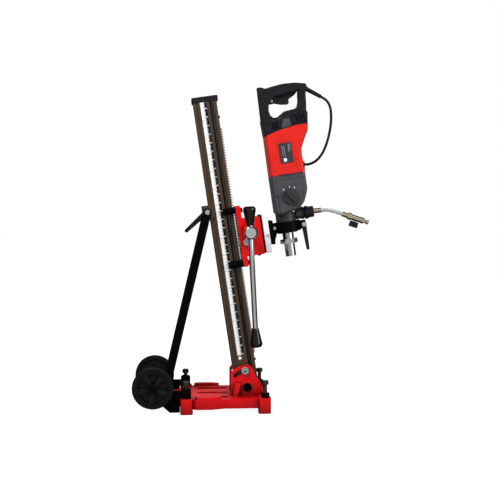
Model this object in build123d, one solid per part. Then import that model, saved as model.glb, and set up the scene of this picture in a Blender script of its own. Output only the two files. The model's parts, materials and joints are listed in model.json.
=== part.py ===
"""Core drill rig: a tilting drill stand with a rack-fed carriage and a wet core drill motor.

Millimetres.  +X is the front, where the motor hangs, +Y the far side and +Z up.
The origin is the centre of the base on the surface that the rig stands on.
Everything from the column up is drawn in the column's own frame, with its origin on the
tilt pivot and Z along the column, and is leaned back by LEAN when it is placed.
"""
from build123d import *

import math
import os

# --- driving dimensions -----------------------------------------------------
LEAN = 8.4                      # degrees the column leans back in the stored pose
PIVOT = (68.0, 0.0, 65.0)       # tilt pivot in the base's frame

FOOT_X = 116.0                  # levelling screws, half spacing along X
FOOT_Y = 100.0                  # levelling screws, half spacing along Y
FOOT_HALF = 17.0                # half width of a screw boss
FOOT_TOP = 46.0
DECK = (30.0, 41.0)             # underside and top of the base's deck
RAIL = (14.0, 42.0)             # underside and top of the side rails
SLOT_X = (-82.0, 12.0)          # anchor slot
SLOT_WIDTH = 20.0
CHEEK_Y = (38.0, 48.0)          # inner and outer face of the tilt cheeks
ARC_RADIUS = 51.0               # tilt slot, about the pivot

SCREW_R = 5.9                   # levelling screw shank
SCREW_HOLE_R = 5.95
WHEEL_AT = (-212.0, 78.0)       # wheel axle, X and Z
WHEEL_R = 60.4
WHEEL_Y = (98.0, 118.0)
AXLE_R = 6.0
BRACE_FOOT = (-172.6, 72.0)     # lower pivot of the brace, X and Z
BRACE_TOP = (-41.0, 533.3)      # upper pivot of the brace, in the column's frame

COLUMN_X = 35.0                 # half depth of the column
COLUMN_Y = 30.0                 # half width of the column
COLUMN_Z = (-14.0, 857.0)
RACK_MODULE = 2.5
RACK_Z = (90.0, 783.0)
RACK_PITCH_X = 38.5
PINION_TEETH = 19
FEED_MODULE = 1.5
FEED_TEETH = (14, 27)           # feed shaft gear and the gear on the pinion shaft
PINION_X = RACK_PITCH_X + RACK_MODULE * PINION_TEETH / 2
PINION_Z = 429.8                # height of the pinion shaft on the carriage
FEED_AT = (70.0, 459.56)        # feed shaft, X and Z in the column's frame
FEED_BUSH_RADIUS = 12.5
HUB_Y = -138.0                  # plane in which the feed bar swings
BAR_TILT = 5.5                  # degrees from the column's axis to the feed bar
PRESSURE = math.radians(25.0)   # pressure angle of every gear
BACKLASH = 0.16

SPINDLE_X = 191.0               # spindle axis
ARMATURE_X = 212.0
IDLER_AT = (213.7, 23.94)       # intermediate shaft, X and Y
MOTOR_Y = 46.0                  # half width of the motor's body
INNER_Y = 43.3                  # half width of the space inside it
HANDLE_Y = 21.0                 # half width of the D-handle
NECK_R = 30.0                   # 60 mm collar neck
WALL = 3.5                      # moulded and cast walls of the motor
TRIGGER_PIN = (209.0, 832.0)    # trigger pivot, X and Z
LOCK_AT = (197.5, 830.5)        # lock button, X and Z

COLLAR_SCREW = (240.0, 455.5)   # clamp screw of the collar, X and Z

CORD_D = 8.0
HOSE_D = 13.0

Z_UP = (0, 0, 1)
Y_FAR = (0, 1, 0)
SIDES = (-1, 1)                 # near and far


# --- helpers ----------------------------------------------------------------
def block(x, y, z):
    """Box between two values on each axis."""
    size = Box(x[1] - x[0], y[1] - y[0], z[1] - z[0])
    return Pos((x[0] + x[1]) / 2, (y[0] + y[1]) / 2, (z[0] + z[1]) / 2) * size


def rod(start, direction, length, radius):
    """Round bar that starts at a point and runs along a direction."""
    bar = Cylinder(radius, length, align=(Align.CENTER, Align.CENTER, Align.MIN))
    return Plane(origin=start, z_dir=direction).location * bar


def ring(start, direction, length, outer, inner):
    return rod(start, direction, length, outer) - rod(start, direction, length, inner)


def hex_bar(start, direction, length, across_flats):
    shape = RegularPolygon(across_flats / 2, 6, major_radius=False)
    return Plane(origin=start, z_dir=direction).location * extrude(shape, amount=length)


def outline_face(points, radius=0.0):
    """Face inside an outline of (a, b) points, its corners rounded."""
    if radius:
        return make_face(FilletPolyline(*points, radius=radius, close=True))
    return make_face(Polyline(*points, close=True))


def slab(points, y, radius=0.0):
    """Plate whose outline is drawn in X and Z, between two values of Y."""
    low, high = min(y), max(y)
    return Plane.XZ.offset(-high).location * extrude(outline_face(points, radius), amount=high - low)


def prism(points, z, radius=0.0):
    """Prism whose outline is drawn in X and Y, between two values of Z."""
    return Pos(0, 0, z[0]) * extrude(outline_face(points, radius), amount=z[1] - z[0])


def side_span(side, inner, outer):
    """The same two distances from the middle plane, on the near or far side."""
    return sorted((side * inner, side * outer))


def turned(points, at, direction, x_dir=None):
    """Solid of revolution from (radius, height) points, standing on a point along a direction."""
    profile = Plane.XZ * make_face(Polyline(*points, close=True))
    body = revolve(profile, axis=Axis.Z)
    return Plane(origin=at, z_dir=direction, x_dir=x_dir).location * body


def arc_slot(center, radius, half_width, start, end, y):
    """Curved slot about a centre in X and Z, from start to end in degrees from +Z toward -X."""
    def at(r, degrees):
        a = math.radians(degrees)
        return (center[0] - r * math.sin(a), center[1] + r * math.cos(a))
    middle = (start + end) / 2
    nose = math.degrees(half_width / radius)
    outer, inner = radius + half_width, radius - half_width
    wire = [
        ThreePointArc(at(outer, start), at(outer, middle), at(outer, end)),
        ThreePointArc(at(outer, end), at(radius, end + nose), at(inner, end)),
        ThreePointArc(at(inner, end), at(inner, middle), at(inner, start)),
        ThreePointArc(at(inner, start), at(radius, start - nose), at(outer, start)),
    ]
    low, high = min(y), max(y)
    return Plane.XZ.offset(-high).location * extrude(make_face(wire), amount=high - low)


def involute(angle):
    return math.tan(angle) - angle


def gear_points(module, teeth, phase):
    """Outline of a spur gear with a tooth centred at the phase angle, in radians."""
    pitch = module * teeth / 2
    base = pitch * math.cos(PRESSURE)
    root, tip = pitch - 1.25 * module, pitch + 0.95 * module
    half = math.pi / (2 * teeth) - BACKLASH / (2 * pitch) + involute(PRESSURE)
    start = max(base, root)
    radii = [start + (tip - start) * step / 4 for step in range(5)]
    flank = [(r, half - involute(math.acos(min(1.0, base / r)))) for r in radii]
    if root < base:
        flank.insert(0, (root, half))
    points = []
    for tooth in range(teeth):
        middle = phase + 2 * math.pi * tooth / teeth
        tooth_points = [(r, middle - a) for r, a in flank] + [(r, middle + a) for r, a in reversed(flank)]
        points += [(r * math.cos(a), r * math.sin(a)) for r, a in tooth_points]
    return points


def gear_about_y(module, teeth, phase, at, y):
    points = [(at[0] + a, at[1] + b) for a, b in gear_points(module, teeth, phase)]
    return slab(points, y)


def gear_about_z(module, teeth, phase, at, z):
    points = [(at[0] + a, at[1] + b) for a, b in gear_points(module, teeth, phase)]
    return prism(points, z)


def group(*pieces):
    """Several separate solids in one node."""
    return Compound([solid for piece in pieces for solid in piece.solids()])


nodes = {}
lean_place = Location(PIVOT, (0, -LEAN, 0))


def on_base(name, shape):
    nodes[name] = shape


def on_column(name, shape):
    nodes[name] = lean_place * shape


# --- base -------------------------------------------------------------------
def cheek_outline():
    """Side view of a tilt cheek about the pivot, with its round back as chords of an arc."""
    back = [(67.5 * math.sin(math.radians(-a)), 67.5 * math.cos(math.radians(a))) for a in (40, 26, 12, -2)]
    front = [(13, 60), (26, 29), (33, 22), (39, 12), (45, -15), (45, -35)]
    points = [(-50, -35), (-50, 44)] + back + front
    return [(PIVOT[0] + x, PIVOT[2] + z) for x, z in points]


def base_casting():
    body = block((-120, 120), (-86, 86), DECK)
    body += block((98, 122), (-86, 86), (RAIL[0], 44))
    tongue = [(-118, 75), (-128, 75), (-155, 46), (-155, -46), (-128, -75), (-118, -75)]
    body += prism(tongue, (16, 40))
    for side in SIDES:
        rail = [(-96, 84), (-96, 106), (-84, 115), (-42, 115), (-4, 103), (98, 103), (98, 84)]
        body += prism([(x, side * y) for x, y in rail], RAIL)
        bulge = [(-90, 98), (-84, 115), (-42, 115), (-12, 105.5), (-12, 98)]
        body += prism([(x, side * y) for x, y in bulge], (RAIL[1], 50))
        body += block((-96, 98), side_span(side, 38, 48), (16, DECK[0]))
        for end in (-1, 1):
            span = sorted((end * (FOOT_X - 20), end * (FOOT_X + FOOT_HALF - 0.5)))
            boss = block(span, side_span(side, 82, FOOT_Y + FOOT_HALF), (0, FOOT_TOP))
            body += fillet(boss.edges().filter_by(Axis.Z), 7)
        body += slab(cheek_outline(), side_span(side, *CHEEK_Y))
        rib = [(31, 80), (48, 80), (37, 40.5), (23, 40.5)]
        body += slab(rib, side_span(side, 48, 60))
    body -= rod((PIVOT[0], -CHEEK_Y[0], PIVOT[2]), Y_FAR, 2 * CHEEK_Y[0], 47)
    half_slot = SLOT_WIDTH / 2
    body -= prism(
        [(SLOT_X[0], -half_slot), (SLOT_X[1], -half_slot), (SLOT_X[1], half_slot), (SLOT_X[0], half_slot)],
        (0, 60),
        half_slot - 0.1,
    )
    for side in SIDES:
        window = [(SLOT_X[0], 54), (SLOT_X[1], 54), (SLOT_X[1], 76), (SLOT_X[0], 76)]
        body -= prism([(x, side * y) for x, y in window], (0, 60), 8)
        body -= arc_slot((PIVOT[0], PIVOT[2]), ARC_RADIUS, 6.5, -0.5, 45.5, side_span(side, 30, 70))
        body -= rod((PIVOT[0], side * (CHEEK_Y[1] - 3), PIVOT[2]), (0, side, 0), 4, 13)
        for end in (-1, 1):
            body -= rod((end * FOOT_X, side * FOOT_Y, -1), Z_UP, 60, SCREW_HOLE_R)
    body -= rod((PIVOT[0], -60, PIVOT[2]), Y_FAR, 120, 8)
    return body


def pivot_bolt():
    face = CHEEK_Y[1] - 3
    body = rod((PIVOT[0], -face, PIVOT[2]), Y_FAR, 2 * face, 8)
    for side in SIDES:
        body += rod((PIVOT[0], side * face, PIVOT[2]), (0, side, 0), 2, 12)
        body += hex_bar((PIVOT[0], side * (face + 2), PIVOT[2]), (0, side, 0), 7, 19)
    return body


def wheel_bracket():
    wx, wz = WHEEL_AT
    lx, lz = BRACE_FOOT
    body = block((-165, -159), (-82.5, 82.5), (6, 54))
    for side in SIDES:
        outline = [(-133.2, 1), (-163, 1), (-181, 17), (-229, 68), (-222, 94), (-200, 94), (-155, 66),
                   (-103, 66), (-103, 46), (-133.2, 46)]
        body += slab(outline, side_span(side, 82.5, 87.5))
        body += rod((wx, side * 82.5, wz), (0, side, 0), 5, 18)
        post = hex_bar((-FOOT_X, side * FOOT_Y, FOOT_TOP), Z_UP, 30, 26)
        post = chamfer(post.edges().group_by(Axis.Z)[-1], 3)
        body += post
        lug = [(-165, 40), (-165, lz + 9), (lx + 2, lz + 10), (lx - 9, lz + 5), (lx - 10, lz - 5), (-172, 40)]
        body += slab(lug, side_span(side, 30, 35))
    body -= rod((wx, -100, wz), Y_FAR, 200, AXLE_R)
    body -= rod((lx, -60, lz), Y_FAR, 120, 5)
    for side in SIDES:
        body -= rod((-FOOT_X, side * FOOT_Y, 40), Z_UP, 50, SCREW_HOLE_R)
    return body


def wheel_axle():
    wx, wz = WHEEL_AT
    body = rod((wx, -124, wz), Y_FAR, 248, AXLE_R)
    for side in SIDES:
        body += rod((wx, side * 119.5, wz), (0, side, 0), 4.5, 10)
        body += rod((wx, side * 87.5, wz), (0, side, 0), 6, 10)
    return body


def wheel_rim(side):
    wx, wz = WHEEL_AT
    body = ring((wx, side * 94, wz), (0, side, 0), 25, 13.5, AXLE_R + 0.05)
    body += ring((wx, side * 101, wz), (0, side, 0), 14, 49.5, 44)
    body += ring((wx, side * 103, wz), (0, side, 0), 4, 45, 12)
    for spoke in range(5):
        bar = prism([(10, -5), (45, -9), (45, 9), (10, 5)], (0, 10))
        turn = math.radians(49.4 + 72 * spoke)
        place = Plane(origin=(wx, side * 103, wz), z_dir=(0, side, 0), x_dir=(math.cos(turn), 0, math.sin(turn)))
        body += place.location * bar
    return body


def wheel_tyre(side):
    wx, wz = WHEEL_AT
    width = WHEEL_Y[1] - WHEEL_Y[0]
    tyre = ring((wx, side * WHEEL_Y[0], wz), (0, side, 0), width, WHEEL_R, 49.5)
    rims = [e for e in tyre.edges().filter_by(GeomType.CIRCLE) if e.radius > 55]
    return fillet(rims, 5)


def levelling_screw(end, side):
    profile = [(0, 3), (3.5, 3), (SCREW_R, 7), (SCREW_R, 84), (10, 84), (10, 94), (8.5, 95.5), (0, 95.5)]
    return turned(profile, (end * FOOT_X, side * FOOT_Y, 0), Z_UP)


def lock_nuts():
    nuts = []
    for side in SIDES:
        nut = hex_bar((FOOT_X, side * FOOT_Y, FOOT_TOP), Z_UP, 13, 22)
        nuts.append(nut - rod((FOOT_X, side * FOOT_Y, 40), Z_UP, 30, SCREW_HOLE_R))
    return group(*nuts)


# --- column -----------------------------------------------------------------
def column_profile():
    body = prism([(-COLUMN_X, -COLUMN_Y), (COLUMN_X, -COLUMN_Y), (COLUMN_X, COLUMN_Y), (-COLUMN_X, COLUMN_Y)],
                 COLUMN_Z, 3)
    body -= block((-30, -2), (-24, 24), (COLUMN_Z[0] - 1, COLUMN_Z[1] + 1))
    body -= block((3, 22), (-18, 18), (COLUMN_Z[0] - 1, COLUMN_Z[1] + 1))
    whole = (COLUMN_Z[0] - 1, COLUMN_Z[1] + 1)
    body -= block((29, 36), (-12.6, 12.6), whole)
    body -= block((-36, -33), (-6, 6), whole)
    for side in SIDES:
        body -= block((-26, -22), side_span(side, 27, 31), whole)
        body -= block((13, 24), side_span(side, 23, 31), whole)
    body -= rod((0, -40, 0), Y_FAR, 80, 8.05)
    body -= rod((0, -40, ARC_RADIUS), Y_FAR, 80, 6)
    return body


def column_foot():
    plates = []
    for side in SIDES:
        outline = [(-30, -14), (30, -14), (30, 46), (18, 60), (-18, 60), (-30, 46)]
        plate = slab(outline, side_span(side, COLUMN_Y, CHEEK_Y[0] - 0.4))
        plate -= rod((0, -40, 0), Y_FAR, 80, 8.05)
        plates.append(plate - rod((0, -40, ARC_RADIUS), Y_FAR, 80, 6))
    return group(*plates)


def column_cap():
    cap = block((-38, 40), (-33, 33), (COLUMN_Z[1], 872))
    cap = fillet(cap.edges().filter_by(Axis.Z), 4)
    return chamfer(cap.edges().group_by(Axis.Z)[-1], 2)


def rack():
    """Straight rack with a gap between teeth level with the pinion."""
    pitch = math.pi * RACK_MODULE
    half = pitch / 4 - BACKLASH / 2
    tip, root = RACK_PITCH_X + 0.95 * RACK_MODULE, RACK_PITCH_X - 1.25 * RACK_MODULE
    lean = math.tan(PRESSURE)
    first = math.ceil((RACK_Z[0] + pitch / 2 - PINION_Z) / pitch - 0.5)
    last = math.floor((RACK_Z[1] - pitch / 2 - PINION_Z) / pitch - 0.5)
    points = [(29, RACK_Z[0]), (root, RACK_Z[0])]
    for tooth in range(first, last + 1):
        middle = PINION_Z + (tooth + 0.5) * pitch
        wide = half + (RACK_PITCH_X - root) * lean
        narrow = half - (tip - RACK_PITCH_X) * lean
        points += [(root, middle - wide), (tip, middle - narrow), (tip, middle + narrow), (root, middle + wide)]
    points += [(root, RACK_Z[1]), (29, RACK_Z[1])]
    return slab(points, (-12.5, 12.5))


def column_scale():
    return block((-15, 5), (-COLUMN_Y - 0.4, -COLUMN_Y), (96, 855))


def guide_rails():
    rails = [rod((18.5, side * 27.5, 66), Z_UP, 789, 4.5) for side in SIDES]
    return group(*rails)


def stop_screws():
    return group(*[rod((29, 0, z), (1, 0, 0), 10.5, 4) for z in (72.5, 809)])


def tilt_bolts():
    body = rod((0, -58, ARC_RADIUS), Y_FAR, 116, 6)
    for side in SIDES:
        body += rod((0, side * (CHEEK_Y[1] + 0.3), ARC_RADIUS), (0, side, 0), 3, 11)
        body += hex_bar((0, side * (CHEEK_Y[1] + 3.3), ARC_RADIUS), (0, side, 0), 8, 18)
    return body


def tilt_pointer():
    outline = [(-13, 83), (-7, 83), (-3, 87.5), (-7, 92), (-13, 92)]
    return slab(outline, (-COLUMN_Y - 1.5, -COLUMN_Y))


# --- brace ------------------------------------------------------------------
def brace_slider():
    low, high = 515, 553
    body = block((-55, -35.3), (-36, 36), (low, high))
    for side in SIDES:
        body += block((-36, -20), side_span(side, 30.6, 36), (low, high))
        body += block((-25.5, -22.5), side_span(side, 27.4, 31), (low, high))
    body = chamfer(body.edges().filter_by(Axis.Z).sort_by(Axis.X)[:2], 4)
    return body - rod((BRACE_TOP[0], -60, BRACE_TOP[1]), Y_FAR, 120, 5)


def brace_clamp_bolt():
    at = (BRACE_TOP[0], 0, BRACE_TOP[1])
    body = rod((at[0], -42, at[2]), Y_FAR, 99, 5)
    head = turned([(0, 0), (8.75, 0), (8.75, 3), (6.5, 6), (0, 7)], (at[0], -42, at[2]), (0, -1, 0))
    return body + head + rod((at[0], 54.5, at[2]), Y_FAR, 4, 8)


def brace_top_world():
    lean = math.radians(LEAN)
    x, z = BRACE_TOP
    return (PIVOT[0] + x * math.cos(lean) - z * math.sin(lean), PIVOT[2] + x * math.sin(lean) + z * math.cos(lean))


def brace_frame():
    """Plane at the brace's foot with its X along the brace."""
    top = brace_top_world()
    span = (top[0] - BRACE_FOOT[0], top[1] - BRACE_FOOT[1])
    length = math.hypot(*span)
    return length, Plane(origin=(BRACE_FOOT[0], 0, BRACE_FOOT[1]), x_dir=(span[0], 0, span[1]), z_dir=(0, -1, 0))


def brace_bars():
    length, plane = brace_frame()
    bars = []
    for side in SIDES:
        low, high = sorted((-side * 36.6, -side * 41.6))
        bar = Pos(length / 2, 0, low) * extrude(SlotCenterToCenter(length, 24), amount=high - low)
        bar -= Pos(length, 0, low - 1) * extrude(Circle(5.05), amount=high - low + 2)
        bar = plane.location * bar
        head = rod((BRACE_FOOT[0], side * 41.6, BRACE_FOOT[1]), (0, side, 0), 5, 8)
        bars.append(bar + head)
    return group(*bars)


def brace_tie():
    _, plane = brace_frame()
    at = plane.from_local_coords((130, 0, 0))
    return rod((at.X, -36.6, at.Z), Y_FAR, 73.2, 6)


def brace_foot_pin():
    return rod((BRACE_FOOT[0], -35, BRACE_FOOT[1]), Y_FAR, 70, 5)


def brace_clamp_lever():
    x, z = BRACE_TOP
    body = rod((x, 42.1, z), Y_FAR, 12, 10)
    turn = Plane(origin=(x, 0, z), x_dir=(-0.8233, 0, -0.5676), z_dir=(0, -1, 0))
    arm = Pos(0, 0, -53) * extrude(outline_face([(0, -8.5), (86, -5.5), (90, 0), (86, 5.5), (0, 8.5)]), amount=8)
    body += turn.location * arm
    return body - rod((x, 40, z), Y_FAR, 20, 5.05)


# --- carriage ---------------------------------------------------------------
HOUSING_Z = (387, 500)


def carriage_plate():
    body = block((42, 57), (-45, 45), (357, 539))
    body = fillet(body.edges().filter_by(Axis.X), 4)
    body -= block((41, 58), (-33, 14.5), (PINION_Z - 31, PINION_Z + 31))
    return body - rod((PINION_X, -46, PINION_Z), Y_FAR, 92, 8.6)


def gear_housing():
    body = block((57, 110), (-45, 45), HOUSING_Z)
    body = fillet(body.edges().filter_by(Axis.Y).sort_by(Axis.X)[-2:], 4)
    body += rod((FEED_AT[0], -44, FEED_AT[1]), (0, -1, 0), 13, 20)
    body += rod((PINION_X + 4, -44, PINION_Z), (0, -1, 0), 5, 14)
    body -= block((56, 104), (-40, 40), (HOUSING_Z[0] + 5, HOUSING_Z[1] - 5))
    body -= rod((FEED_AT[0], -60, FEED_AT[1]), Y_FAR, 30, FEED_BUSH_RADIUS)
    body -= rod((PINION_X, -60, PINION_Z), Y_FAR, 110, 12)
    return body - block((40, 57), (-60, 60), (HOUSING_Z[0] - 1, HOUSING_Z[1] + 1))


def feed_bushes():
    feed_x, feed_z = FEED_AT
    bushes = [ring((feed_x, -57, feed_z), Y_FAR, 17, FEED_BUSH_RADIUS, 9.05)]
    for start, length in ((-49, 9), (40, 5)):
        bush = ring((PINION_X, start, PINION_Z), Y_FAR, length, 12, 8.05)
        bushes.append(bush - block((40, 57), (-60, 60), HOUSING_Z))
    return group(*bushes)


def guide_arms():
    arms = []
    for low, high in ((517, 537), (358, 378)):
        for side in SIDES:
            arm = block((4, 42), side_span(side, 34, 45), (low, high))
            arms.append(chamfer(arm.edges().filter_by(Axis.Y).sort_by(Axis.X)[:2], 3))
    return group(*arms)


def guide_shoes():
    shoes = []
    for low, high in ((519, 535), (360, 376)):
        for side in SIDES:
            shoe = block((9, 28), side_span(side, 30.5, 34), (low, high))
            shoe -= rod((18.5, side * 27.5, low - 1), Z_UP, 20, 4.8)
            shoes.append(shoe)
    return group(*shoes)


def guide_screws():
    heads = []
    for middle in (527, 368):
        for side in SIDES:
            for x in (13, 28):
                heads.append(rod((x, side * 45, middle), (0, side, 0), 3, 4.5))
    return group(*heads)


def carriage_screws():
    heads = []
    for z in (368, 525):
        for side in SIDES:
            heads.append(hex_bar((57, side * 32, z), (1, 0, 0), 6, 13))
    heads.append(rod((97, 0, HOUSING_Z[0]), (0, 0, -1), 6, 5))
    return group(*heads)


def spacer_plate():
    return block((110, 116), (-42, 42), (389, 503))


def adapter_plate():
    body = block((116, 133), (-40, 40), (389, 502))
    return chamfer(body.edges().filter_by(Axis.X), 2)


def pinion_shaft():
    at = (PINION_X, PINION_Z)
    body = rod((at[0], -52, at[1]), Y_FAR, 97, 8)
    body += gear_about_y(RACK_MODULE, PINION_TEETH, math.pi, at, (-12.5, 12.5))
    toward = math.atan2(FEED_AT[1] - at[1], FEED_AT[0] - at[0])
    body += gear_about_y(FEED_MODULE, FEED_TEETH[1], toward, at, (-30, -18))
    return body + rod((at[0], -56, at[1]), Y_FAR, 4, 11)


def feed_shaft():
    x, z = FEED_AT
    body = rod((x, -117, z), Y_FAR, 102, 9)
    toward = math.atan2(z - PINION_Z, x - PINION_X)
    body += gear_about_y(FEED_MODULE, FEED_TEETH[0], toward + math.pi + math.pi / FEED_TEETH[0], FEED_AT, (-30.5, -17.5))
    return body


def feed_hub():
    x, z = FEED_AT
    profile = [(0, 0), (15, 0), (18, 2), (19.3, 6), (19.3, 36), (18, 40), (15, 42), (0, 42)]
    body = turned(profile, (x, -159, z), Y_FAR)
    direction = bar_direction()
    start = (x - 40 * direction[0], HUB_Y, z - 40 * direction[2])
    return body - rod(start, direction, 80, 8.05)


def bar_direction():
    """Upward direction of the feed bar in the column's frame."""
    a = math.radians(BAR_TILT)
    return (math.sin(a), 0, math.cos(a))


def along_bar(distance):
    direction = bar_direction()
    return (FEED_AT[0] + distance * direction[0], HUB_Y, FEED_AT[1] + distance * direction[2])


def feed_bar():
    return rod(along_bar(-305), bar_direction(), 355, 8)


def feed_grips():
    cone = [(8, 0), (10, 0), (18.5, 44), (18, 50), (14, 55), (0, 56), (0, 30), (8, 30)]
    down = tuple(-v for v in bar_direction())
    upper = turned(cone, along_bar(20), bar_direction())
    lower = turned([(8, 0), (10, 0), (18.5, 44), (18, 50), (14, 55), (0, 56), (0, 30), (8, 30)],
                   along_bar(-275), down)
    return group(upper, lower)


def motor_bracket():
    body = block((133, 147), (-36, 36), (410, 481))
    body = fillet(body.edges().filter_by(Axis.X), 3)
    body += block((147, 172), (-22, 22), (440, 471))
    body += slab([(147, 412), (147, 441), (159, 441)], (-6, 6))
    body += rod((SPINDLE_X, 0, 440), Z_UP, 31, 41)
    body += block((226, 248), (-13, 13), (443, 468))
    body -= rod((SPINDLE_X, 0, 439), Z_UP, 33, NECK_R + 0.05)
    body -= block((215, 249), (-2, 2), (439, 472))
    return body - rod((COLLAR_SCREW[0], -20, COLLAR_SCREW[1]), Y_FAR, 40, 4)


def bracket_bolts():
    heads = [hex_bar((147, side * 29, 457), (1, 0, 0), 7, 11) for side in SIDES]
    heads.append(rod((126.5, -40, 440), (0, -1, 0), 4, 4))
    return group(*heads)


def collar_screw():
    x, z = COLLAR_SCREW
    body = rod((x, -27, z), Y_FAR, 40, 4)
    body += hex_bar((x, 13, z), Y_FAR, 6, 13)
    return body + rod((x, -30, z), Y_FAR, 3, 6.5)


def collar_clamp_lever():
    x, z = COLLAR_SCREW
    body = rod((x, -26.7, z), Y_FAR, 13.4, 8)
    arm = slab([(x - 7, z), (x - 2, z - 75), (x + 2, z - 78), (x + 6.5, z - 75), (x + 7, z)], (-26, -18))
    return body + arm - rod((x, -30, z), Y_FAR, 20, 4.05)


# --- motor ------------------------------------------------------------------
CASE_TOP = 609


def case_outline(inset=0.0):
    points = [(160, 609), (160, 502), (168, 492), (184, 492), (232, 505), (250, 524), (259, 545), (264, 562),
              (264, 609)]
    middle = (212, 560)
    if not inset:
        return points
    shrunk = []
    for x, z in points:
        x += inset if x < middle[0] else -inset
        if z < 600:
            z += inset * 1.5
        shrunk.append((x, z))
    return shrunk


def edges_on_sides(body, half_width):
    """Edges of a body's two flat sides."""
    return [e for e in body.edges() if abs(abs(e.center().Y) - half_width) < 0.01]


def gear_case():
    body = slab(case_outline(), (-MOTOR_Y, MOTOR_Y))
    body = fillet([e for e in edges_on_sides(body, MOTOR_Y) if e.center().Z < CASE_TOP - 1], 9)
    body += rod((SPINDLE_X, 0, 437), Z_UP, 60, NECK_R)
    body += rod((222, 0, 489.4), (1, 0, 0), 19, 17)
    body -= slab(case_outline(WALL), (-INNER_Y, INNER_Y))
    body -= rod((210, -MOTOR_Y - 1, 543), Y_FAR, 9, 5.05)
    body -= rod((SPINDLE_X, 0, 430), Z_UP, 80, 17.5)
    return body


def bearings():
    sets = [
        ring((SPINDLE_X, 0, 441), Z_UP, 9, 17.5, 15.05),
        ring((SPINDLE_X, 0, 480), Z_UP, 9, 17.5, 15.05),
        ring((ARMATURE_X, 0, 596), Z_UP, 7, 13, 6.05),
        ring((ARMATURE_X, 0, 716), Z_UP, 7, 13, 6.05),
        ring((*IDLER_AT, 528), Z_UP, 6, 10, 5.05),
        ring((*IDLER_AT, 590), Z_UP, 6, 10, 5.05),
    ]
    return group(*sets)


def bearing_plates():
    """Walls inside the motor that hold the bearings of the armature and intermediate shaft."""
    front = block((163.6, 260), (-INNER_Y, INNER_Y), (CASE_TOP - 19, CASE_TOP - 6))
    front -= rod((ARMATURE_X, 0, 580), Z_UP, 40, 13)
    front -= rod((*IDLER_AT, 580), Z_UP, 40, 10)
    rear = block((165, 268), (-INNER_Y, INNER_Y), (716, 722))
    rear -= rod((ARMATURE_X, 0, 700), Z_UP, 40, 13)
    lower = block((196, 236), (8, INNER_Y), (528, 534))
    lower -= rod((*IDLER_AT, 520), Z_UP, 30, 10)
    lower -= rod((SPINDLE_X, 0, 520), Z_UP, 30, 16.5)
    return group(front, rear, lower)


def spindle():
    body = rod((SPINDLE_X, 0, 418), Z_UP, 132, 15)
    body += rod((SPINDLE_X, 0, 418), Z_UP, 19, 17)
    body += hex_bar((SPINDLE_X, 0, 405), Z_UP, 13, 46)
    body += rod((SPINDLE_X, 0, 366), Z_UP, 40, 15.875)
    toward = math.atan2(IDLER_AT[1], IDLER_AT[0] - SPINDLE_X)
    phase = toward + math.pi / 32
    body += gear_about_z(1.5, 32, phase, (SPINDLE_X, 0), (538, 550))
    return body - rod((SPINDLE_X, 0, 366), Z_UP, 40, 9.3)


def gear_train():
    """Intermediate shaft with its wheel and pinion."""
    body = rod((*IDLER_AT, 528.5), Z_UP, 67, 5)
    toward_spindle = math.atan2(-IDLER_AT[1], SPINDLE_X - IDLER_AT[0])
    body += gear_about_z(1.5, 12, toward_spindle, IDLER_AT, (536, 552))
    toward_armature = math.atan2(-IDLER_AT[1], ARMATURE_X - IDLER_AT[0])
    body += gear_about_z(1.0, 36, toward_armature + math.pi / 36, IDLER_AT, (574, 584))
    return body


def armature():
    body = rod((ARMATURE_X, 0, 586), Z_UP, 138, 6)
    toward = math.atan2(IDLER_AT[1], IDLER_AT[0] - ARMATURE_X)
    body += gear_about_z(1.0, 12, toward, (ARMATURE_X, 0), (572, 588))
    body += rod((ARMATURE_X, 0, 625), Z_UP, 55, 20)
    body += rod((ARMATURE_X, 0, 690), Z_UP, 18, 14)
    return body + rod((ARMATURE_X, 0, 606), Z_UP, 8, 26)


def stator():
    body = ring((ARMATURE_X, 0, 624), Z_UP, 57, 36, 21)
    for side in SIDES:
        body += block((200, 224), side_span(side, 34, INNER_Y), (626, 679))
    return body


def brushes():
    """Two carbon brushes against the commutator."""
    return group(*[block((208, 216), side_span(side, 14.3, 32), (694, 704)) for side in SIDES])


def junction_outline():
    """Upper edge of the red shell, from the rear to the front."""
    return [(161, 730), (210, 743), (255, 750), (292, 750)]


def motor_shell():
    points = [(160, CASE_TOP)] + junction_outline() + [(288, 728), (274, 703), (264, 682), (262, 664), (264, CASE_TOP)]
    body = slab(points, (-MOTOR_Y, MOTOR_Y))
    body = fillet([e for e in edges_on_sides(body, MOTOR_Y) if CASE_TOP + 1 < e.center().Z < 735], 9)
    body -= block((192, 236), (-MOTOR_Y - 1, -MOTOR_Y + 0.8), (640, 706))
    inner = [(163.5, CASE_TOP - 1), (164.5, 735), (212, 748), (256, 755), (287, 755), (283, 729), (270, 705),
             (260, 684), (258, 664), (260, CASE_TOP - 1)]
    return body - slab(inner, (-INNER_Y, INNER_Y))


def handle_outline():
    top = [(161, 877), (172, 876.5), (184, 871), (203, 874.5), (238, 878.5), (273, 877), (305, 870.5), (308.5, 863.5)]
    front = [(302, 842), (299, 807), (292, 750)]
    junction = list(reversed(junction_outline()))[1:]
    return top + front + junction + [(158.5, 782)]


def grip_hole():
    return [(188, 825), (185, 804), (188, 791), (196, 782.5), (207, 782.5), (219, 790), (230, 797), (250, 799),
            (265, 801), (273, 808), (278, 822), (278.5, 834), (281, 852), (208, 842), (203, 836), (203, 825)]


# ventilation slots of the handle's housing: place along X, lower and upper end
VENTS = [(260, 755, 783), (267.5, 755, 784), (275, 756, 784), (282.5, 756, 783),
         (188, 742, 763), (194.5, 744, 766), (201, 746, 769)]


def junction_edge(edge):
    """Long edge along the joint with the red shell."""
    middle = edge.center()
    return abs(middle.Z - 741) < 14 and 165 < middle.X < 290


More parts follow.
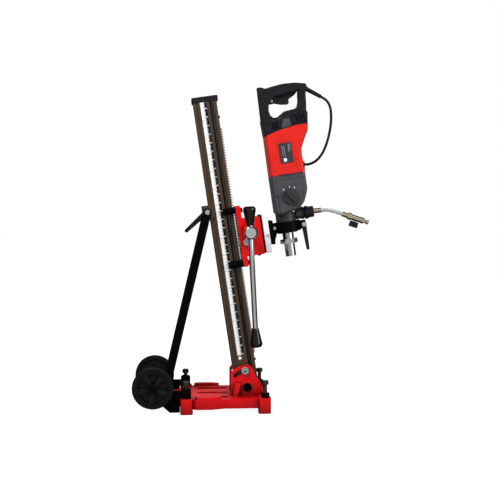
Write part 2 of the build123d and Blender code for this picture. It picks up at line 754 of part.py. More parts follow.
def handle_shell(side):
    upper = slab(handle_outline(), side_span(side, 0, HANDLE_Y))
    upper = upper & block((150, 320), (-60, 60), (776, 900))
    upper -= slab(grip_hole(), (-60, 60))
    upper = fillet([e for e in edges_on_sides(upper, HANDLE_Y) if e.center().Z > 777], 5)
    lower = slab(handle_outline(), side_span(side, 0, MOTOR_Y - 1))
    lower = lower & slab([(150, 700), (150, 780), (200, 774), (240, 786), (310, 786), (310, 700)], (-60, 60))
    lower = fillet([e for e in edges_on_sides(lower, MOTOR_Y - 1) if not junction_edge(e)], 4)
    body = upper + lower
    body -= slab(grip_hole(), (-60, 60))
    inner = [(165, 740), (166, 779), (182, 786), (200, 777), (212, 779), (232, 790), (262, 793), (288, 795),
             (288, 754), (255, 754), (210, 747)]
    body -= slab(inner, side_span(side, -1, MOTOR_Y - 5)) & slab(
        [(150, 700), (150, 776), (200, 770), (240, 782), (310, 782), (310, 700)], (-60, 60))
    for x, z in ((177, 857), (176, 798), (252, 782), (252, 755), (179, 760)):
        body -= rod((x, side * 8, z), (0, side, 0), 60, 2.5)
    for x, low, high in VENTS:
        slot = Pos(x, 0, (low + high) / 2) * Rot(0, -4, 0) * Box(3, 20, high - low)
        body -= Pos(0, side * (MOTOR_Y + 2), 0) * slot
    body -= block((204, 279), (-8.6, 8.6), (836, 862))
    ear = block((203, 213), side_span(side, 9, 14), (826, 843))
    body += ear
    body -= rod((TRIGGER_PIN[0], -20, TRIGGER_PIN[1]), Y_FAR, 40, 2.05)
    body -= rod((LOCK_AT[0], -30, LOCK_AT[1]), Y_FAR, 28, 3.05)
    socket = rod(along(CORD_ROUTE[0], relief_direction(), -RELIEF), relief_direction(), RELIEF, 7.4)
    return lean_place * body - socket


def trigger():
    x, z = TRIGGER_PIN
    points = [(205, 838), (206, 845), (272, 854), (275.5, 848), (269, 841.5), (250, 831.5), (248.5, 819), (244, 817),
              (224, 819.5), (205, 825.5)]
    body = slab(points, (-8, 8))
    return body + rod((x, -13, z), Y_FAR, 26, 2)


def lock_button():
    x, z = LOCK_AT
    return rod((x, -25, z), Y_FAR, 21, 3)


def gear_selector():
    body = rod((210, -MOTOR_Y - 6, 543), Y_FAR, 6 - 0.3, 21)
    ridge = Plane(origin=(210, -MOTOR_Y - 6, 543), z_dir=(0, -1, 0), x_dir=(math.sin(math.radians(-37)), 0,
                  math.cos(math.radians(-37)))).location * Box(39, 7, 12, align=(Align.CENTER, Align.CENTER, Align.MIN))
    body += ridge & rod((210, -MOTOR_Y - 20, 543), Y_FAR, 20, 20.5)
    return body + rod((210, -MOTOR_Y - 1, 543), Y_FAR, 9, 5)


# --- water feed -------------------------------------------------------------
WATER_Z = 489.4


def water_inlet():
    """Plastic union on the water inlet, in two turned pieces."""
    profile = [(0, 241), (19, 241), (19, 246), (16.5, 247), (16.5, 250), (20, 251), (20, 258), (17, 262), (17, 276),
               (15, 277), (0, 277)]
    body = turned(profile, (0, 0, WATER_Z), (1, 0, 0))
    return body - rod((260, 0, WATER_Z), (1, 0, 0), 20, 8.3)


def to_world(x, z):
    lean = math.radians(LEAN)
    return (PIVOT[0] + x * math.cos(lean) - z * math.sin(lean), PIVOT[2] + x * math.sin(lean) + z * math.cos(lean))


HOSE_ROUTE = [(282.0, 0.0, 592.2), (300.0, 0.0, 594.2), (320.0, 0.0, 593.2), (337.0, 0.0, 588.9), (354.0, 0.0, 583.4),
              (371.5, 0.0, 577.6)]
VALVE_DIR = (0.9483, 0.0, -0.3173)
VALVE_DOWN = (-0.3173, 0.0, -0.9483)


def route_radii(points):
    """Arc radius at each inner point: 0.45 of the shorter run over the tangent of half the turn."""
    radii = []
    for before, here, after in zip(points, points[1:], points[2:]):
        run_in = Vector(*here) - Vector(*before)
        run_out = Vector(*after) - Vector(*here)
        turn = math.radians(run_in.get_angle(run_out))
        radii.append(0.45 * min(run_in.length, run_out.length) / math.tan(turn / 2))
    return radii


def tube(points, diameter, name):
    radii = route_radii(points)
    path = FilletPolyline(*points, radius=radii)
    start = Plane(origin=points[0], z_dir=Vector(*points[1]) - Vector(*points[0]))
    solid = sweep(start * Circle(diameter / 2), path=path)
    ratio = solid.volume / (math.pi * diameter ** 2 / 4 * path.length)
    print(name, "length", round(path.length, 1), "volume ratio", round(ratio, 4),
          "radii", [round(r) for r in radii])
    return solid


def along(point, direction, distance):
    return tuple(p + distance * d for p, d in zip(point, direction))


def hose_fittings():
    """Crimped ferrules at both ends of the hose, and the valve's hexagon and body."""
    start = HOSE_ROUTE[0]
    first = Vector(*HOSE_ROUTE[1]) - Vector(*start)
    first = first / first.length
    direction = (first.X, 0, first.Z)
    union = (to_world(262, WATER_Z)[0], 0, to_world(262, WATER_Z)[1])
    stub = rod(union, direction, 17, 7.5)
    ferrule = ring(along(start, direction, -6), direction, 18, 8.3, HOSE_D / 2)
    ferrule += rod(along(start, direction, -10), direction, 10, 8.3)
    end = HOSE_ROUTE[-1]
    back = tuple(-v for v in VALVE_DIR)
    second = ring(along(end, VALVE_DIR, 0), back, 14, 8.3, HOSE_D / 2)
    second += rod(end, VALVE_DIR, 4, 8.3)
    second += hex_bar(along(end, VALVE_DIR, 4), VALVE_DIR, 12, 19)
    second += rod(along(end, VALVE_DIR, 16), VALVE_DIR, 34, 9.5)
    second += hex_bar(along(end, VALVE_DIR, 50), VALVE_DIR, 6, 17)
    second += rod(along(end, VALVE_DIR, 56), VALVE_DIR, 15, 5.5)
    second += rod(along(end, VALVE_DIR, 64), VALVE_DIR, 7, 7)
    second += rod(along(along(end, VALVE_DIR, 31), VALVE_DOWN, 5), VALVE_DOWN, 6, 4.5)
    return group(ferrule + stub, second)


def valve_lever():
    """Quarter-turn lever under the valve body."""
    at = along(HOSE_ROUTE[-1], VALVE_DIR, 31)
    stem = along(at, VALVE_DOWN, 11.3)
    plane = Plane(origin=stem, z_dir=VALVE_DOWN, x_dir=(-VALVE_DIR[0], 0, -VALVE_DIR[2]))
    arm = extrude(outline_face([(-12, -4), (12, -4), (15, 0), (12, 4), (-12, 4)]), amount=17)
    return plane.location * arm + rod(stem, VALVE_DOWN, 9, 6)


# --- mains cord -------------------------------------------------------------
CORD_ROUTE = [(292.0, 0.0, 933.0), (306.0, 1.0, 926.0), (317.0, 4.0, 914.0), (323.5, 8.0, 897.0),
              (326.0, 13.0, 875.0), (325.5, 19.0, 848.0), (321.5, 25.0, 820.0), (314.0, 31.0, 791.0),
              (303.5, 37.0, 765.0), (289.0, 43.5, 745.5), (270.0, 51.0, 733.5), (249.0, 58.0, 731.5),
              (228.0, 63.5, 737.0), (208.0, 67.0, 744.3), (189.0, 69.0, 751.4), (170.0, 69.0, 758.2)]
COIL_AT = (188.0, 81.0, 808.0)
COIL_MEAN = 44.0                # radius at the middle of the turns
COIL_HALF = 13.0                # half the section across the turns
COIL_HALF_Y = 16.2              # half the section along Y, four layers deep
RELIEF = 58.0                   # length of the strain relief
PLUG_AT = (240.0, 94.0)


def relief_direction():
    """The cord leaves the handle along its first run."""
    run = Vector(*CORD_ROUTE[1]) - Vector(*CORD_ROUTE[0])
    run = run / run.length
    return (run.X, run.Y, run.Z)


def strain_relief():
    """Tapered rubber sleeve with a flange held in the handle."""
    profile = [(0, -RELIEF), (7.4, -RELIEF), (7.4, -RELIEF + 8), (6.8, -RELIEF + 14), (5.8, -3), (5.8, 0), (0, 0)]
    return turned(profile, CORD_ROUTE[0], relief_direction())


def cord_coil():
    x, y, z = COIL_AT
    return ring((x, y - COIL_HALF_Y, z), Y_FAR, 2 * COIL_HALF_Y, COIL_MEAN + COIL_HALF, COIL_MEAN - COIL_HALF)


def cord_tie():
    """Clip on the far side of the handle, with a strap down to a band round the coil."""
    clip = lean_place * block((279, 295), (21, 25.5), (810, 826))
    x, y, z = COIL_AT
    turn = math.radians(60)
    band_at = Vector(x + COIL_MEAN * math.cos(turn), y, z + COIL_MEAN * math.sin(turn))
    across, deep = 2 * COIL_HALF + 1, 2 * COIL_HALF_Y + 1
    band = Box(across + 4, deep + 4, 12) - Box(across, deep, 13)
    tangent = (-math.sin(turn), 0, math.cos(turn))
    band = Plane(origin=band_at, z_dir=tangent, x_dir=(math.cos(turn), 0, math.sin(turn))).location * band
    clip_x, clip_z = to_world(287, 818)
    start = Vector(clip_x, 24.5, clip_z)
    end = Vector(band_at.X, y - COIL_HALF_Y - 3, band_at.Z)
    span = end - start
    strap = Box(12, 2, span.length + 2, align=(Align.CENTER, Align.CENTER, Align.MIN))
    strap = Plane(origin=start, z_dir=span, x_dir=(0.9, 0.4, 0)).location * strap
    return clip + strap + band


def plug():
    """Plug on the tail of the coil, with two round pins."""
    x, y = PLUG_AT
    profile = [(0, 0), (5.2, 0), (7, -24), (9, -27), (17, -36), (17, -62), (15, -66), (0, -66)]
    body = turned(profile, (x, y, 776), Z_UP)
    for side in SIDES:
        body += rod((x + side * 9.5, y, 776 - 66), (0, 0, -1), 19, 2.4)
    return body


# --- assembly ---------------------------------------------------------------
on_base("base_casting", base_casting())
on_base("base_fasteners", group(pivot_bolt(), lock_nuts(), brace_foot_pin()))
on_base("wheel_bracket", wheel_bracket())
on_base("wheel_axle", wheel_axle())
for side_name, side in (("near", -1), ("far", 1)):
    on_base(side_name + "_wheel_rim", wheel_rim(side))
    on_base(side_name + "_wheel_tyre", wheel_tyre(side))
    for end_name, end in (("front", 1), ("rear", -1)):
        on_base("levelling_screw_" + end_name + "_" + side_name, levelling_screw(end, side))
on_column("column_profile", column_profile())
on_column("column_foot", column_foot())
on_column("column_cap", column_cap())
on_column("rack", rack())
on_column("column_scale", group(column_scale(), tilt_pointer()))
on_column("guide_rails", group(guide_rails(), stop_screws()))
on_column("tilt_bolts", tilt_bolts())
on_column("brace_slider", brace_slider())
on_column("brace_clamp_bolt", brace_clamp_bolt())
on_column("brace_clamp_lever", brace_clamp_lever())
on_base("brace_bars", group(brace_bars(), brace_tie()))
on_column("carriage_plate", carriage_plate())
on_column("gear_housing", gear_housing())
on_column("carriage_bushes", group(feed_bushes(), guide_shoes()))
on_column("guide_arms", guide_arms())
on_column("carriage_screws", group(carriage_screws(), guide_screws()))
on_column("spacer_plate", spacer_plate())
on_column("adapter_plate", adapter_plate())
on_column("pinion_shaft", pinion_shaft())
on_column("feed_shaft", feed_shaft())
on_column("feed_hub", feed_hub())
on_column("feed_bar", feed_bar())
on_column("feed_grips", feed_grips())
on_column("motor_bracket", motor_bracket())
on_column("bracket_screws", group(bracket_bolts(), collar_screw()))
on_column("collar_clamp_lever", collar_clamp_lever())
on_column("gear_case", gear_case())
on_column("motor_bearings", group(bearings(), brushes()))
on_column("bearing_plates", bearing_plates())
on_column("spindle", spindle())
on_column("gear_train", gear_train())
on_column("armature", armature())
on_column("stator", stator())
on_column("motor_shell", motor_shell())
on_base("handle_shell_near", handle_shell(-1))
on_base("handle_shell_far", handle_shell(1))
on_column("trigger", trigger())
on_column("lock_button", lock_button())
on_column("gear_selector", gear_selector())
on_column("water_inlet", water_inlet())
on_base("hose_fittings", hose_fittings())
on_base("valve_lever", valve_lever())
on_base("water_hose", tube(HOSE_ROUTE, HOSE_D, "hose"))
on_base("strain_relief", strain_relief())
on_base("mains_cord", tube(CORD_ROUTE, CORD_D, "cord"))
on_base("cord_coil", cord_coil())
on_base("cord_tie", cord_tie())
on_base("plug", plug())

os.makedirs("parts", exist_ok=True)
for name, shape in nodes.items():
    export_step(shape, os.path.join("parts", name + ".step"))
print(len(nodes), "nodes")
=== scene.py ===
"""Core drill rig: finishes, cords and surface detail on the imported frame."""
import json
import math

import bmesh
import bpy
from mathutils import Matrix, Vector


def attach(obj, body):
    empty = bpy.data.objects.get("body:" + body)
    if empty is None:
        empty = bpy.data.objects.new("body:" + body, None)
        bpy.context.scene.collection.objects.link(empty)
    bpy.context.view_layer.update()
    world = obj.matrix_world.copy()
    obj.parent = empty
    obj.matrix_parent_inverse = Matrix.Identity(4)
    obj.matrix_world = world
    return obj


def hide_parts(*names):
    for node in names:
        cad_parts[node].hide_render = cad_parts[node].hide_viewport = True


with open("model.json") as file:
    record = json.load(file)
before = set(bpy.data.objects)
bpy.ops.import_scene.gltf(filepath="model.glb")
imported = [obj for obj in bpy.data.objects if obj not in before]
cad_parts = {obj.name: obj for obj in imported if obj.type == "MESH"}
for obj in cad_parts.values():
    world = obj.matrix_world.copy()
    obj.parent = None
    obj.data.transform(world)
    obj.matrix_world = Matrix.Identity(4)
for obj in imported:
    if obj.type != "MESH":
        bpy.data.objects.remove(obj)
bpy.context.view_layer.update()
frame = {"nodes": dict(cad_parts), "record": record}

# the column's own frame, in millimetres: the detail on the column, carriage and motor is drawn in it
LEAN = math.radians(8.4)
PIVOT = Vector((0.068, 0.0, 0.065))
MM = 0.001
COLUMN = Matrix.Translation(PIVOT) @ Matrix.Rotation(-LEAN, 4, "Y") @ Matrix.Scale(MM, 4)

BODY_OF = {node: body for body, nodes in frame["record"]["behaviour"]["bodies"].items() for node in nodes}
SLOT_OF = {part["node"]: part["material_slot"] for part in frame["record"]["subparts"]}

# nodes shown with rounded edges, and by how much, in metres
EDGED = {"base_casting": 0.0010, "carriage_plate": 0.0010, "gear_housing": 0.0008, "adapter_plate": 0.0008,
         "spacer_plate": 0.0006, "motor_bracket": 0.0008, "brace_slider": 0.0008, "column_cap": 0.0010,
         "wheel_bracket": 0.0006, "brace_bars": 0.0006, "guide_arms": 0.0008, "trigger": 0.0008,
         "collar_clamp_lever": 0.0008, "brace_clamp_lever": 0.0008, "valve_lever": 0.0008}


# --- camera, light and floor ------------------------------------------------
CAMERA_AT, CAMERA_AIM = (-0.125, -2.760, 0.6277), (0.0788, 0.0, 0.4728)
FOCAL_LENGTH = 66.23
FLOOR_HALF, FLOOR_Z = 12, -0.0006


def look_at(obj, target):
    obj.rotation_euler = (Vector(target) - obj.location).to_track_quat("-Z", "Y").to_euler()


def set_camera():
    data = bpy.data.cameras.new("camera")
    data.lens = FOCAL_LENGTH
    data.sensor_width = 36
    data.clip_end = 50
    camera = bpy.data.objects.new("camera", data)
    camera.location = CAMERA_AT
    look_at(camera, CAMERA_AIM)
    bpy.context.scene.collection.objects.link(camera)
    bpy.context.scene.camera = camera


def area_light(name, location, target, size, power):
    data = bpy.data.lights.new(name, "AREA")
    data.shape = "RECTANGLE"
    data.size, data.size_y = size
    data.energy = power
    light = bpy.data.objects.new(name, data)
    light.location = location
    look_at(light, target)
    bpy.context.scene.collection.objects.link(light)


def studio_world():
    """White behind the object; what it reflects is a dimmer room, with a bright ceiling and dark walls."""
    world = bpy.data.worlds.new("studio")
    world.use_nodes = True
    nodes, links = world.node_tree.nodes, world.node_tree.links
    seen = nodes["Background"]
    seen.inputs["Color"].default_value = (1, 1, 1, 1)
    seen.inputs["Strength"].default_value = 1.0
    place = nodes.new("ShaderNodeTexCoord")
    parts = nodes.new("ShaderNodeSeparateXYZ")
    links.new(place.outputs["Generated"], parts.inputs["Vector"])
    room = nodes.new("ShaderNodeBackground")
    room.inputs["Strength"].default_value = 0.85
    height = ramp(nodes, links, parts.outputs["Z"], [(0.0, (0.30, 0.30, 0.30)), (0.35, (0.30, 0.30, 0.31)),
                  (0.75, (0.80, 0.80, 0.81))])
    depth = nodes.new("ShaderNodeMapRange")
    depth.inputs["From Min"].default_value = -1.0
    links.new(parts.outputs["Y"], depth.inputs["Value"])
    wall = ramp(nodes, links, depth.outputs["Result"], [(0.0, (2.0, 2.0, 2.0)), (0.08, (1.4, 1.4, 1.4)),
                (0.22, (0.9, 0.9, 0.9)), (0.30, (0.06, 0.06, 0.06)), (0.66, (0.06, 0.06, 0.06)),
                (0.90, (0.60, 0.60, 0.60))])
    links.new(multiplied(nodes, links, height, wall), room.inputs["Color"])
    path = nodes.new("ShaderNodeLightPath")
    mix = nodes.new("ShaderNodeMixShader")
    links.new(path.outputs["Is Camera Ray"], mix.inputs["Fac"])
    links.new(room.outputs["Background"], mix.inputs[1])
    links.new(seen.outputs["Background"], mix.inputs[2])
    links.new(mix.outputs["Shader"], nodes["World Output"].inputs["Surface"])
    return world


def set_studio():
    """Three area lights, and a white floor that the object doesn't reflect."""
    scene = bpy.context.scene
    scene.view_settings.view_transform = "Standard"
    scene.world = studio_world()
    area_light("key", (-1.2, -1.9, 2.6), (0, 0, 0.35), (0.8, 0.8), 70)
    area_light("fill", (2.2, -1.6, 1.2), (0.1, 0, 0.4), (0.6, 1.6), 34)
    area_light("back", (0.6, 2.2, 2.2), (0, 0, 0.5), (1.8, 1.0), 26)
    mesh = bpy.data.meshes.new("floor")
    corners = [(x * FLOOR_HALF, y * FLOOR_HALF, 0) for x, y in ((-1, -1), (1, -1), (1, 1), (-1, 1))]
    mesh.from_pydata(corners, [], [(0, 1, 2, 3)])
    floor = bpy.data.objects.new("floor", mesh)
    floor.location.z = FLOOR_Z
    floor.visible_diffuse = False
    floor.visible_glossy = False
    white = surface("floor_white", (0.45, 0.45, 0.45), 0.8, tint=0.01, grain=4, bump=0.0)
    shader = white.node_tree.nodes["Principled BSDF"]
    shader.inputs["Emission Color"].default_value = (1, 1, 1, 1)
    shader.inputs["Emission Strength"].default_value = 0.93
    shader.inputs["Specular IOR Level"].default_value = 0.0
    mesh.materials.append(white)
    scene.collection.objects.link(floor)


# --- materials --------------------------------------------------------------
WHEEL_AXIS, TREAD_GROOVES = (-0.212, 0, 0.078), 72
MIX_A, MIX_B, MIX_RESULT = 6, 7, 2      # the colour sockets of a Mix node


def new_material(name):
    material = bpy.data.materials.new(name)
    material.use_nodes = True
    nodes = material.node_tree.nodes
    return material, nodes, material.node_tree.links, nodes["Principled BSDF"]


def coordinates(nodes, links, stretch=(1, 1, 1), turn=0.0):
    place = nodes.new("ShaderNodeTexCoord")
    mapping = nodes.new("ShaderNodeMapping")
    mapping.inputs["Rotation"].default_value = (0, turn, 0)
    mapping.inputs["Scale"].default_value = stretch
    links.new(place.outputs["Object"], mapping.inputs["Vector"])
    return mapping.outputs["Vector"]


def noise(nodes, links, vector, scale, detail=4.0, rough=0.55):
    texture = nodes.new("ShaderNodeTexNoise")
    texture.inputs["Scale"].default_value = scale
    texture.inputs["Detail"].default_value = detail
    texture.inputs["Roughness"].default_value = rough
    links.new(vector, texture.inputs["Vector"])
    return texture.outputs["Fac"]


def ramp(nodes, links, value, stops):
    """Colour ramp on value; stops are (place, colour)."""
    node = nodes.new("ShaderNodeValToRGB")
    while len(node.color_ramp.elements) < len(stops):
        node.color_ramp.elements.new(0.5)
    for element, (place, colour) in zip(node.color_ramp.elements, stops):
        element.position = place
        element.color = (*colour, 1)
    links.new(value, node.inputs["Fac"])
    return node.outputs["Color"]


def multiplied(nodes, links, first, second):
    """Product of two colours."""
    mix = nodes.new("ShaderNodeMix")
    mix.data_type = "RGBA"
    mix.blend_type = "MULTIPLY"
    mix.inputs["Factor"].default_value = 1.0
    links.new(first, mix.inputs[MIX_A])
    links.new(second, mix.inputs[MIX_B])
    return mix.outputs[MIX_RESULT]


def add_bump(nodes, links, shader, height, strength, distance):
    node = nodes.new("ShaderNodeBump")
    node.inputs["Strength"].default_value = strength
    node.inputs["Distance"].default_value = distance
    links.new(height, node.inputs["Height"])
    links.new(node.outputs["Normal"], shader.inputs["Normal"])


def spread(nodes, links, value, low, high):
    """Maps the middle of a noise, 0.3 to 0.7, onto low to high."""
    node = nodes.new("ShaderNodeMapRange")
    node.inputs["From Min"].default_value = 0.3
    node.inputs["From Max"].default_value = 0.7
    node.inputs["To Min"].default_value = low
    node.inputs["To Max"].default_value = high
    links.new(value, node.inputs["Value"])
    return node.outputs["Result"]


def surface(name, colour, rough, metallic=0.0, tint=0.1, grain=60.0, bump=0.1, bump_scale=900.0, depth=0.0002,
            stretch=(1, 1, 1), turn=0.0, coat=0.0, specular=0.5):
    """A procedural finish: colour and roughness vary with one noise, and a finer one gives the bump."""
    material, nodes, links, shader = new_material(name)
    vector = coordinates(nodes, links, stretch, turn)
    broad = noise(nodes, links, vector, grain)
    dark = tuple(c * (1 - tint) for c in colour)
    light = tuple(min(c * (1 + tint), 1) for c in colour)
    base = ramp(nodes, links, broad, [(0.3, dark), (0.7, light)])
    links.new(base, shader.inputs["Base Color"])
    links.new(spread(nodes, links, broad, rough * 0.85, min(rough * 1.15, 1)), shader.inputs["Roughness"])
    shader.inputs["Metallic"].default_value = metallic
    shader.inputs["Coat Weight"].default_value = coat
    shader.inputs["Coat Roughness"].default_value = 0.12
    shader.inputs["Specular IOR Level"].default_value = specular
    if bump:
        add_bump(nodes, links, shader, noise(nodes, links, vector, bump_scale, 3.0), bump, depth)
    return material


def tyre_rubber():
    """Rubber with cross grooves round the tread."""
    material, nodes, links, shader = new_material("tyre_rubber")
    vector = coordinates(nodes, links)
    base = ramp(nodes, links, noise(nodes, links, vector, 120), [(0.3, (0.004, 0.004, 0.004)),
                (0.7, (0.008, 0.0078, 0.0078))])
    links.new(base, shader.inputs["Base Color"])
    links.new(spread(nodes, links, noise(nodes, links, vector, 40), 0.6, 0.8), shader.inputs["Roughness"])
    shader.inputs["Specular IOR Level"].default_value = 0.12
    centred = nodes.new("ShaderNodeVectorMath")
    centred.operation = "SUBTRACT"
    centred.inputs[1].default_value = WHEEL_AXIS
    links.new(vector, centred.inputs[0])
    parts = nodes.new("ShaderNodeSeparateXYZ")
    links.new(centred.outputs["Vector"], parts.inputs["Vector"])
    angle = nodes.new("ShaderNodeMath")
    angle.operation = "ARCTAN2"
    links.new(parts.outputs["Z"], angle.inputs[0])
    links.new(parts.outputs["X"], angle.inputs[1])
    count = nodes.new("ShaderNodeMath")
    count.operation = "MULTIPLY"
    count.inputs[1].default_value = TREAD_GROOVES
    links.new(angle.outputs["Value"], count.inputs[0])
    wave = nodes.new("ShaderNodeMath")
    wave.operation = "SINE"
    links.new(count.outputs["Value"], wave.inputs[0])
    add_bump(nodes, links, shader, wave.outputs["Value"], 0.5, 0.0008)
    return material


def with_painted_recess_shade(material, reach, darkest):
    """Painted shade: darkens a finish's colour where it is enclosed within reach, for the shade in recesses
    and between parts.
    """
    nodes, links = material.node_tree.nodes, material.node_tree.links
    base = nodes["Principled BSDF"].inputs["Base Color"]
    enclosed = nodes.new("ShaderNodeAmbientOcclusion")
    enclosed.inputs["Distance"].default_value = reach
    shade = ramp(nodes, links, enclosed.outputs["AO"], [(0.35, (darkest,) * 3), (0.95, (1, 1, 1))])
    links.new(multiplied(nodes, links, base.links[0].from_socket, shade), base)
    return material


def threaded_black():
    """Black screw steel with rings of thread along Z."""
    material = surface("threaded_black", (0.008, 0.008, 0.009), 0.34, tint=0.15, grain=80, bump=0.0,
                       specular=0.4)
    nodes, links = material.node_tree.nodes, material.node_tree.links
    wave = nodes.new("ShaderNodeTexWave")
    wave.bands_direction = "Z"
    wave.inputs["Scale"].default_value = 180
    links.new(coordinates(nodes, links), wave.inputs["Vector"])
    add_bump(nodes, links, nodes["Principled BSDF"], wave.outputs["Fac"], 0.6, 0.0006)
    return material


def clear_hose():
    """Clear hose with a crossed braid under its skin."""
    material, nodes, links, shader = new_material("clear_hose")
    vector = coordinates(nodes, links)
    wave = nodes.new("ShaderNodeTexWave")
    wave.bands_direction = "DIAGONAL"
    wave.inputs["Scale"].default_value = 160
    wave.inputs["Distortion"].default_value = 0.6
    links.new(vector, wave.inputs["Vector"])
    braid = ramp(nodes, links, wave.outputs["Fac"], [(0.35, (0.42, 0.50, 0.56)), (0.75, (0.74, 0.79, 0.82))])
    links.new(braid, shader.inputs["Base Color"])
    shader.inputs["Roughness"].default_value = 0.16
    shader.inputs["Transmission Weight"].default_value = 0.35
    shader.inputs["IOR"].default_value = 1.42
    shader.inputs["Coat Weight"].default_value = 0.6
    add_bump(nodes, links, shader, wave.outputs["Fac"], 0.15, 0.0003)
    return material


def make_finishes():
    """One finish per material slot of the record, then those of the marks and of single nodes."""
    # red_paint, case_grey, shell_red, rim and bracket carry painted shade, darker in their recesses
    return {
        "red_paint": with_painted_recess_shade(surface("red_enamel", (0.80, 0.002, 0.004), 0.32, tint=0.08, grain=25,
                                      bump=0.12, bump_scale=700, coat=0.08, specular=0.2), 0.06, 0.15),
        "brown_anodised": surface("brown_anodised", (0.066, 0.036, 0.017), 0.40, metallic=0.25, tint=0.22,
                                  grain=1.0, bump=0.06, bump_scale=3, stretch=(400, 400, 6), turn=LEAN),
        "black_paint": surface("black_powder_coat", (0.0022, 0.0022, 0.0026), 0.42, tint=0.2, grain=50,
                               bump=0.2, bump_scale=1100, specular=0.03),
        "black_plastic": surface("black_moulded", (0.0130, 0.0122, 0.0150), 0.42, tint=0.14, grain=80,
                                 bump=0.3, bump_scale=1600, depth=0.00015, specular=0.12),
        "black_rubber": surface("black_rubber", (0.004, 0.004, 0.0045), 0.28, tint=0.2, grain=90, bump=0.25,
                                bump_scale=1300, specular=0.4),
        "tyre": tyre_rubber(),
        "chrome": surface("chrome_plate", (0.80, 0.80, 0.82), 0.09, metallic=1.0, tint=0.03, grain=15,
                          bump=0.02, bump_scale=300),
        "steel": surface("machined_steel", (0.66, 0.66, 0.65), 0.26, metallic=1.0, tint=0.1, grain=6,
                         bump=0.15, bump_scale=60, stretch=(1, 14, 1)),
        "zinc": surface("zinc_plate", (0.74, 0.74, 0.74), 0.26, metallic=1.0, tint=0.14, grain=140, bump=0.1,
                        bump_scale=600),
        "scale": surface("printed_strip", (0.95, 0.95, 0.94), 0.4, tint=0.02, grain=30, bump=0.03),
        "bronze": surface("sintered_bronze", (0.46, 0.29, 0.12), 0.45, metallic=1.0, tint=0.12, grain=300),
        "brass": surface("nickelled_brass", (0.74, 0.63, 0.47), 0.22, metallic=1.0, grain=70, bump=0.06),
        "light_alloy": surface("milled_alloy", (0.95, 0.94, 0.99), 0.36, tint=0.04, grain=8, bump=0.12,
                               bump_scale=60, stretch=(1, 1, 12)),
        "case_grey": with_painted_recess_shade(surface("cast_case", (0.058, 0.056, 0.064), 0.45, tint=0.12, grain=70,
                                      bump=0.35, bump_scale=1200, specular=0.35), 0.03, 0.2),
        "shell_red": with_painted_recess_shade(surface("red_moulded", (0.76, 0.018, 0.012), 0.36, tint=0.05, grain=30,
                                      bump=0.12, bump_scale=1500, depth=0.0001, specular=0.2), 0.02, 0.3),
        "selector_grey": surface("selector_grey", (0.026, 0.026, 0.029), 0.40, tint=0.1, grain=90, bump=0.2),
        "black_steel": surface("blackened_steel", (0.014, 0.014, 0.015), 0.22, metallic=0.6, tint=0.2,
                               grain=20, bump=0.05, stretch=(1, 1, 0.1)),
        "iron_core": surface("iron_core", (0.16, 0.15, 0.15), 0.5, metallic=0.9, tint=0.2, grain=12, bump=0.2,
                             bump_scale=30, stretch=(1, 1, 40)),
        "hose": clear_hose(),
        "rim": with_painted_recess_shade(surface("rim_plastic", (0.010, 0.010, 0.011), 0.34, tint=0.1, grain=80, bump=0.2,
                                bump_scale=1300, specular=0.1), 0.02, 0.02),
        "thread": threaded_black(),
        "mark_grey": surface("mark_grey", (0.30, 0.30, 0.31), 0.5, tint=0.05, bump=0.0),
        "mark_white": surface("mark_white", (0.85, 0.85, 0.84), 0.5, tint=0.03, bump=0.0),
        "mark_black": surface("mark_black", (0.012, 0.012, 0.012), 0.5, bump=0.0),
        "bracket": with_painted_recess_shade(surface("bracket_coat", (0.018, 0.018, 0.021), 0.4, tint=0.15, bump=0.2,
                                    bump_scale=1100, specular=0.2), 0.02, 0.2),
        "strip_black": surface("strip_black", (0.004, 0.004, 0.005), 0.5, bump=0.0, specular=0.1),
        "label": surface("label_grey", (0.030, 0.030, 0.034), 0.3, grain=40, bump=0.02),
    }


def paint(obj, material):
    obj.data.materials.clear()
    obj.data.materials.append(material)


# --- mesh helpers -----------------------------------------------------------
SHARP_ABOVE, BEVEL_ABOVE, FLAT_BELOW = math.radians(35), math.radians(40), math.radians(0.5)
WELD, WELD_CAD = 1e-5, 2e-6             # in the unit bm is drawn in: a CAD node's is metres


def add_box(bm, low, high):
    corners = [bm.verts.new((x, y, z)) for x in (low[0], high[0]) for y in (low[1], high[1])
               for z in (low[2], high[2])]
    for face in ((0, 1, 3, 2), (4, 6, 7, 5), (0, 4, 5, 1), (2, 3, 7, 6), (0, 2, 6, 4), (1, 5, 7, 3)):
        bm.faces.new([corners[i] for i in face])


def add_lathe(bm, profile, origin, axis, steps=48):
    """Turns (radius, height) points about axis, starting from origin."""
    turn = Vector(axis).to_track_quat("Z", "Y").to_matrix()
    rings = []
    for radius, height in profile:
        points = []
        for i in range(steps):
            a = 2 * math.pi * i / steps
            local = Vector((radius * math.cos(a), radius * math.sin(a), height))
            points.append(bm.verts.new(Vector(origin) + turn @ local))
        rings.append(points)
    for below, above in zip(rings, rings[1:]):
        for i in range(steps):
            j = (i + 1) % steps
            bm.faces.new((below[i], below[j], above[j], above[i]))
    if profile[0][0] > 0:
        bm.faces.new(list(reversed(rings[0])))
    if profile[-1][0] > 0:
        bm.faces.new(rings[-1])


def add_disc(bm, radius, height, origin, axis, steps):
    add_lathe(bm, [(radius, 0), (radius, height), (0, height)], origin, axis, steps)


def add_plate(bm, outline, low_y, high_y):
    """Outline of (x, z) points, as a plate between two Y."""
    near = [bm.verts.new((x, low_y, z)) for x, z in outline]
    far = [bm.verts.new((x, high_y, z)) for x, z in outline]
    bm.faces.new(near)
    bm.faces.new(list(reversed(far)))
    for i in range(len(outline)):
        j = (i + 1) % len(outline)
        bm.faces.new((near[j], near[i], far[i], far[j]))


